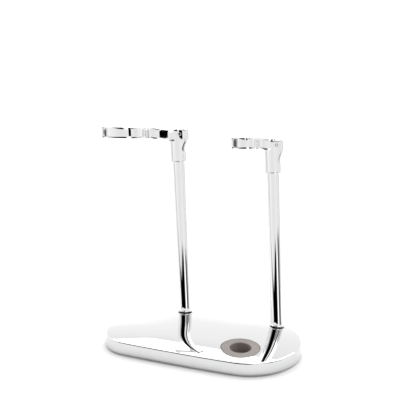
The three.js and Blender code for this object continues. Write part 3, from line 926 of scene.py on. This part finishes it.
@dataclass
class ForkHolder:
    """Cast holder: a sleeve that swells into a rounded head, with a neck and a C-shaped fork.

    Its own frame has Z up the post from the sleeve's lower end and X along the fork.
    """

    side: Side
    turn: float
    ring_centre: float
    ring_radius: float
    mouth: float
    slope: float
    drop: float
    band: float = 2.4
    band_bottom: float = 17.9
    neck_level: float = 7.0
    band_height: float = 8.1
    neck_half: float = 4.6
    sleeve_radius: float = 6.5
    bore: float = 5.3
    bore_depth: float = 23.4
    head_top: float = 24.8
    head_back: float = 2.4
    crown: float = 2.2
    edge: float = 0.38
    face_inset: float = 0.9
    screw_height: float = 20.2
    screw_radius: float = 1.3
    screw_proud: float = 0.12
    screw_length: float = 1.6
    socket_depth: float = 1.0

    @property
    def body(self) -> str:
        """Name of the CAD body that the holder rides on."""
        return f"{self.side.value}_swivel"

    def to_frame(self, points: np.ndarray) -> np.ndarray:
        """Moves points of the holder's own frame into the row frame.

        Args:
            points: Points in millimetres along the last axis.

        Returns:
            The moved points.
        """
        start, axis = joint_axis(self.side)
        level = unit(np.array([1.0, 0.0, 0.0]) - axis * axis[0])
        across = np.cross(axis, level)
        a = math.radians(self.turn)
        x = level * math.cos(a) + across * math.sin(a)
        return points @ np.stack([x, np.cross(axis, x), axis]) + start

    def section(self, back: float, inset: float, z: float) -> np.ndarray:
        """Ring round two circles, the second one a little behind the first.

        Args:
            back: How far behind the post's axis the second circle lies.
            inset: How far the ring is drawn in.
            z: Height of the ring.

        Returns:
            Points (columns, 3).
        """
        a = np.linspace(0.0, 2 * np.pi, 160, endpoint=False)
        r = self.sleeve_radius - inset
        behind = smoothstep(0.5 - 4.0 * np.cos(a) / 2)
        return np.stack([r * np.cos(a) - back * behind, r * np.sin(a), z + 0 * a], axis=-1)

    def head(self) -> bpy.types.Object:
        """Sleeve and head: rings up the bore, round the lip, up the outside and over the crown.

        Returns:
            The piece.
        """
        wall = self.sleeve_radius - self.bore
        lip = ((1.0, 0.08), (0.8, 0.0), (0.35, 0.0), (0.1, 0.08), (0.0, 0.35))     # (inset, z)
        rings = [self.section(0, wall, z) for z in (self.bore_depth, 12.0, 0.35)]
        rings += [self.section(0, inset, z) for inset, z in lip]
        shoulder = self.head_top - self.crown
        for z in np.linspace(1.0, shoulder, 40):
            back = self.head_back * float(smoothstep(np.array((z - 7.0) / 10.0)))
            rings.append(self.section(back, 0.0, z))
        for a in np.radians(np.linspace(8, 88, 12)):
            rings.append(self.section(self.head_back, self.crown * (1 - math.cos(a)),
                                      shoulder + self.crown * math.sin(a)))
        for f in (0.7, 0.4, 0.15):
            inset = self.sleeve_radius - f * (self.sleeve_radius - self.crown)
            rings.append(self.section(self.head_back * f, inset, self.head_top))
        points = np.stack(rings)
        return ring_stack(f"{self.side.value}_holder_head", self.to_frame(points), self.body,
                          self.to_frame(np.array([0.0, 0.0, self.bore_depth])),
                          self.to_frame(np.array([-0.1, 0.0, self.head_top])))

    def plan(self) -> np.ndarray:
        """Outline of neck and fork: arcs of the ring, round tips, and a neck that eases into both.

        Returns:
            Points (n, 2), anticlockwise.
        """
        outer, inner = self.ring_radius, self.ring_radius - self.band
        middle, half = (outer + inner) / 2, self.band / 2
        mouth = math.radians(self.mouth)
        join = math.asin(min(0.75, (self.neck_half + 3.2) / outer))

        def arc(cx: float, cy: float, r: float, start: float, stop: float,
                count: int) -> np.ndarray:
            """Returns count points of a circle's arc from angle start to stop."""
            a = np.linspace(start, stop, count)
            return np.stack([cx + r * np.cos(a), cy + r * np.sin(a)], axis=-1)

        upper = arc(self.ring_centre, 0, outer, mouth, math.pi - join, 90)
        end = upper[-1]
        tangent = unit(upper[-1] - upper[-2])
        root = np.array([0.5, self.sleeve_radius - 0.35])
        along = (end[1] - self.neck_half) * tangent[0] / tangent[1] if tangent[1] else 0.0
        knee = np.array([end[0] - along, self.neck_half])
        knee[0] = max(knee[0], root[0] + 6.0)
        flare = np.array([root[0] + 5.5, self.neck_half])
        t = np.linspace(0.0, 1.0, 24)[1:, None]
        bend = (1 - t) ** 2 * end + 2 * t * (1 - t) * knee + t * t * (flare + (knee - flare) * 0.35)
        s = np.linspace(0.0, 1.0, 24)[1:, None]
        start = bend[-1]
        heel = np.array([flare[0] - 1.5, self.neck_half])
        ease = start * (1 - s) ** 2 + 2 * s * (1 - s) * heel + s * s * root
        tip = arc(self.ring_centre + middle * math.cos(mouth), middle * math.sin(mouth), half,
                  mouth - math.pi, mouth, 14)[1:-1]
        inside = arc(self.ring_centre, 0, inner, math.pi, mouth, 100)
        right = np.vstack([inside, tip, upper, bend, ease])
        left = right[::-1] * np.array([1.0, -1.0])
        return np.vstack([right, left[:-1]])

    def fork(self) -> bpy.types.Object:
        """Fork: the plan's outline carried round a rounded rectangle, sloping down to the neck.

        Returns:
            The piece.
        """
        plan = self.plan()
        ahead = np.roll(plan, -1, axis=0) - np.roll(plan, 1, axis=0)
        outward = unit(np.stack([ahead[:, 1], -ahead[:, 0]], axis=-1))
        low, high, e = self.band_bottom, self.band_bottom + self.band_height, self.edge
        turn = np.radians(np.linspace(0, 90, 5))
        rows = [(self.face_inset, low)]
        rows += [(e * (1 - math.sin(a)), low + e * (1 - math.cos(a))) for a in turn]
        rows += [(0.0, z) for z in np.linspace(low + e, high - e, 6)[1:-1]]
        rows += [(e * (1 - math.cos(a)), high - e * (1 - math.sin(a))) for a in turn]
        rows += [(self.face_inset, high)]
        rings = np.stack([np.column_stack([plan - outward * inset, np.full(len(plan), z)])
                          for inset, z in rows])
        start = self.ring_centre - self.ring_radius
        out = rings[..., 0] - start
        rings[..., 2] += self.slope * out - self.drop * smoothstep(-out / (start - self.neck_level))
        placed = self.to_frame(rings)
        count, cols = placed.shape[:2]
        faces = grid_quads(count, cols).tolist()
        faces += [list(range(start, start + cols)) for start in (0, (count - 1) * cols)]
        return make_object(f"{self.side.value}_fork", placed.reshape(-1, 3), faces, self.body)

    def set_screw(self) -> bpy.types.Object:
        """Grub screw: a turned stub with a socket, its axis square to the fork and to the post.

        Returns:
            The piece.
        """
        r, out = self.screw_radius, self.sleeve_radius + self.screw_proud
        foot, socket = out - self.screw_length, out - self.socket_depth
        profile = rounded_profile([(0, foot, 0), (r, foot, 0), (r, out, 0.25),
                                   (r * 0.55, out, 0.06), (r * 0.5, socket, 0),
                                   (0, socket, 0)], 4)
        rings = revolve(profile[1:-1], 48)
        poles = [np.array([0.0, 0.0, profile[k, 1]]) for k in (0, -1)]

        def aim(points: np.ndarray) -> np.ndarray:
            """Turns points from the screw's own axis into the row frame."""
            x, y, z = points[..., 0], points[..., 1], points[..., 2]
            return self.to_frame(np.stack([x, z, y + self.screw_height], axis=-1))

        return ring_stack(f"{self.side.value}_grub_screw", aim(rings), self.body,
                          aim(poles[0]), aim(poles[1]))

    def build(self, finisher: Finisher) -> None:
        """Builds head, fork and screw, and dresses them.

        Args:
            finisher: Gives each piece its finish.
        """
        name = self.side.value
        finisher.dress(self.head(), CHROME_HOLDER, (f"{name}_holder",))
        finisher.dress(self.fork(), CHROME_HOLDER)
        finisher.dress(self.set_screw(), INSERT_STEEL, (f"{name}_holder_set_screw",))
        finisher.dress_node(f"{name}_friction_washer", NYLON)


# ---------------------------------------------------------------- studio
@dataclass(frozen=True)
class Surround:
    """Brightness of the room by direction; azimuth 0 faces the camera's side, + to the right.

    Each table holds (angle in degrees, brightness). Low and high up on the camera's side the room
    shows dark strips; between them hangs a white panel, whose hem gives its lower edge as a
    hundredth of its elevation. Behind, white paper fades as it rises.
    """

    low: tuple = ((-180, 1.15), (-115, 1.1), (-108, 0.66), (-86, 0.54), (-65, 0.32), (-56, 0.1),
                  (-50, 0.0), (9, 0.0), (14, 0.2), (20, 1.1), (34, 1.1), (40, 0.02), (52, 0.05),
                  (62, 0.28), (76, 0.5), (92, 0.7), (108, 0.95), (130, 1.1), (180, 1.15))
    high: tuple = ((-180, 1.15), (-110, 1.1), (-95, 0.7), (-80, 0.3), (-72, 0.0), (-4, 0.0),
                   (4, 0.35), (10, 1.1), (30, 1.1), (42, 0.15), (66, 0.2), (82, 0.6), (100, 0.55),
                   (112, 0.75), (128, 1.1), (180, 1.15))
    panel: tuple = ((-180, 1.15), (-110, 1.1), (-80, 0.85), (-60, 0.8), (-30, 0.73), (-20, 0.7),
                    (0, 0.705), (15, 0.73), (28, 0.76), (45, 0.73), (62, 0.68), (80, 0.78),
                    (100, 0.86), (130, 1.0), (180, 1.15))
    paper: tuple = ((-90, 1.0), (10, 0.98), (20, 0.815), (30, 0.765), (40, 0.715), (90, 0.715))
    hem: tuple = ((-180, 0.0), (-66, 0.0), (-48, 0.03), (-33, 0.062), (-25, 0.078), (-15, 0.096),
                  (-5, 0.109), (2, 0.112), (14, 0.111), (30, 0.098), (45, 0.08), (60, 0.05),
                  (75, 0.005), (80, 0.0), (180, 0.0))
    panel_top: float = 18.0
    edge: float = 0.3
    gain: float = 1.37

    def ramp(self, tree: bpy.types.NodeTree, value: bpy.types.NodeSocket, table: tuple,
             span: float) -> bpy.types.NodeSocket:
        """Brightness read from a table by an angle between -span and span degrees.

        Args:
            tree: The world's node tree.
            value: The angle's socket, in degrees.
            table: Rows of (angle, brightness up to 1.2).
            span: Half the angle that the table covers.

        Returns:
            The brightness socket.
        """
        node = tree.nodes.new("ShaderNodeFloatCurve")
        curve = node.mapping.curves[0]
        place = [((angle + span) / (2 * span), level / 1.2) for angle, level in table]
        while len(curve.points) < len(place):
            curve.points.new(0.5, 0.5)
        for point, (x, y) in zip(curve.points, place):
            point.location = (x, y)
            point.handle_type = "VECTOR"
        node.mapping.update()
        tree.links.new(map_range(tree, value, -span, span, 0.0, 1.0), node.inputs["Value"])
        return math_node(tree, "MULTIPLY", node.outputs["Value"], 1.2)

    def build(self) -> None:
        """Makes the world from the tables."""
        world = bpy.data.worlds.new("studio")
        bpy.context.scene.world = world
        world.use_nodes = True
        tree = world.node_tree
        ray = tree.nodes.new("ShaderNodeSeparateXYZ")
        tree.links.new(tree.nodes.new("ShaderNodeTexCoord").outputs["Generated"], ray.inputs[0])
        x, y, z = ray.outputs
        degree = 180.0 / math.pi
        azimuth = math_node(tree, "MULTIPLY", math_node(
            tree, "ARCTAN2", x, math_node(tree, "MULTIPLY", y, -1.0)), degree)
        elevation = math_node(tree, "MULTIPLY", math_node(tree, "ARCSINE", z), degree)
        low = self.ramp(tree, azimuth, self.low, 180.0)
        high = self.ramp(tree, azimuth, self.high, 180.0)
        panel = self.ramp(tree, azimuth, self.panel, 180.0)
        paper = self.ramp(tree, elevation, self.paper, 90.0)
        bottom = math_node(tree, "MULTIPLY", self.ramp(tree, azimuth, self.hem, 180.0), 100.0)
        above = map_range(tree, math_node(tree, "SUBTRACT", elevation, bottom), -self.edge,
                          self.edge, 0.0, 1.0)
        below = map_range(tree, elevation, self.panel_top - self.edge, self.panel_top + self.edge,
                          1.0, 0.0)
        front = mix_values(tree, above, low, mix_values(tree, below, high, panel))
        behind = map_range(tree, math_node(tree, "ABSOLUTE", azimuth), 110.0, 150.0, 0.0, 1.0)
        fade = math_node(tree, "ADD", math_node(tree, "MULTIPLY", paper, behind),
                         math_node(tree, "SUBTRACT", 1.0, behind))
        level = math_node(tree, "MULTIPLY", math_node(tree, "MULTIPLY", front, fade), self.gain)
        tree.links.new(level, tree.nodes["Background"].inputs["Strength"])
        tree.nodes["Background"].inputs["Color"].default_value = (1, 1, 1, 1)


@dataclass
class Studio:
    """Plain pale floor, the room, one ceiling softbox and the camera."""

    distance: float = 1.1
    elevation: float = 22.0
    lens: float = 141.6
    aim: tuple = (0.003327, -0.008316, 0.070)
    pitch: float = 20.18
    yaw: float = 0.18
    softbox_size: tuple = (1.9, 1.3)
    softbox_place: tuple = (0.15, 0.55, 1.05)
    softbox_turn: float = -13.0
    softbox_power: float = 15.0
    floor_tone: float = 0.9
    floor_reach: float = 12.0
    flag_left: float = 0.108
    flag_right: float = 0.205
    flag_bottom: float = 0.234
    flag_height: float = 0.3
    flag_distance: float = 0.3

    def camera(self) -> None:
        """Sets the camera on its sphere round the aim point, turned a little off it.

        The camera stands at aim + distance (0, -cos e, sin e) and looks along the direction with
        the given pitch below level and yaw to the left of +Y.
        """
        data = bpy.data.cameras.new("camera")
        data.lens, data.sensor_width = self.lens, 36.0
        data.clip_start, data.clip_end = 0.01, 100.0
        camera = bpy.data.objects.new("camera", data)
        bpy.context.scene.collection.objects.link(camera)
        e, pitch, yaw = (math.radians(v) for v in (self.elevation, self.pitch, self.yaw))
        away = Vector((0.0, -math.cos(e), math.sin(e)))
        camera.location = Vector(self.aim) + away * self.distance
        look = Vector((-math.cos(pitch) * math.sin(yaw), math.cos(pitch) * math.cos(yaw),
                       -math.sin(pitch)))
        camera.rotation_euler = look.to_track_quat("-Z", "Y").to_euler()
        bpy.context.scene.camera = camera

    def floor(self) -> None:
        """Adds the pale floor."""
        mesh = bpy.data.meshes.new("floor")
        r = self.floor_reach
        mesh.from_pydata([(-r, -r, 0), (r, -r, 0), (r, r, 0), (-r, r, 0)], [], [(0, 1, 2, 3)])
        floor = bpy.data.objects.new("floor", mesh)
        material = bpy.data.materials.new("floor_paper")
        material.use_nodes = True
        principled = material.node_tree.nodes["Principled BSDF"]
        principled.inputs["Base Color"].default_value = (self.floor_tone,) * 3 + (1,)
        principled.inputs["Roughness"].default_value = 0.9
        principled.inputs["Specular IOR Level"].default_value = 0.0
        mesh.materials.append(material)
        bpy.context.scene.collection.objects.link(floor)

    def flag(self) -> None:
        """Stands a dark card in front, up to the right, that only the polished forks mirror."""
        left, right, low, high, y = (self.flag_left, self.flag_right, self.flag_bottom,
                                     self.flag_bottom + self.flag_height, -self.flag_distance)
        mesh = bpy.data.meshes.new("dark_flag")
        mesh.from_pydata([(left, y, low), (right, y, low), (right, y, high), (left, y, high)], [],
                         [(0, 1, 2, 3)])
        flag = bpy.data.objects.new("dark_flag", mesh)
        material = bpy.data.materials.new("flag_cloth")
        material.use_nodes = True
        principled = material.node_tree.nodes["Principled BSDF"]
        principled.inputs["Base Color"].default_value = (0.0, 0.0, 0.0, 1)
        principled.inputs["Roughness"].default_value = 1.0
        principled.inputs["Specular IOR Level"].default_value = 0.0
        mesh.materials.append(material)
        bpy.context.scene.collection.objects.link(flag)
        flag.visible_camera = flag.visible_diffuse = flag.visible_shadow = False

    def softbox(self) -> None:
        """Hangs the softbox flat over the object and behind it."""
        data = bpy.data.lights.new("softbox", "AREA")
        data.shape, data.size, data.size_y = "RECTANGLE", *self.softbox_size
        data.energy = self.softbox_power
        lamp = bpy.data.objects.new("softbox", data)
        lamp.location = self.softbox_place
        lamp.rotation_euler = (0.0, 0.0, math.radians(self.softbox_turn))
        bpy.context.scene.collection.objects.link(lamp)

    def build(self) -> None:
        """Builds the whole studio and a neutral view transform."""
        self.camera()
        self.floor()
        self.flag()
        self.softbox()
        Surround().build()
        bpy.context.scene.view_settings.view_transform = "Standard"
        bpy.context.scene.view_settings.look = "None"


def main() -> None:
    """Builds the stand piece by piece, then the studio."""
    logging.basicConfig(level=logging.INFO, format="%(message)s")
    Studio().build()
    finisher = Finisher()
    base = BaseCasting()
    base.build(finisher)
    RazorCup(base).build(finisher)
    Underside().build(finisher)
    LeaningPost(Side.BRUSH, base, foot=(-14.0, 27.6)).build(finisher)
    LeaningPost(Side.RAZOR, base, foot=(51.8, 3.0)).build(finisher)
    ForkHolder(Side.BRUSH, turn=194, ring_centre=39.5, ring_radius=18.0, mouth=39,
               slope=0.06, drop=1.7).build(finisher)
    ForkHolder(Side.RAZOR, turn=204, ring_centre=22.0, ring_radius=9.6, mouth=40,
               slope=0.03, drop=1.0).build(finisher)


if __name__ == "__main__":
    main()
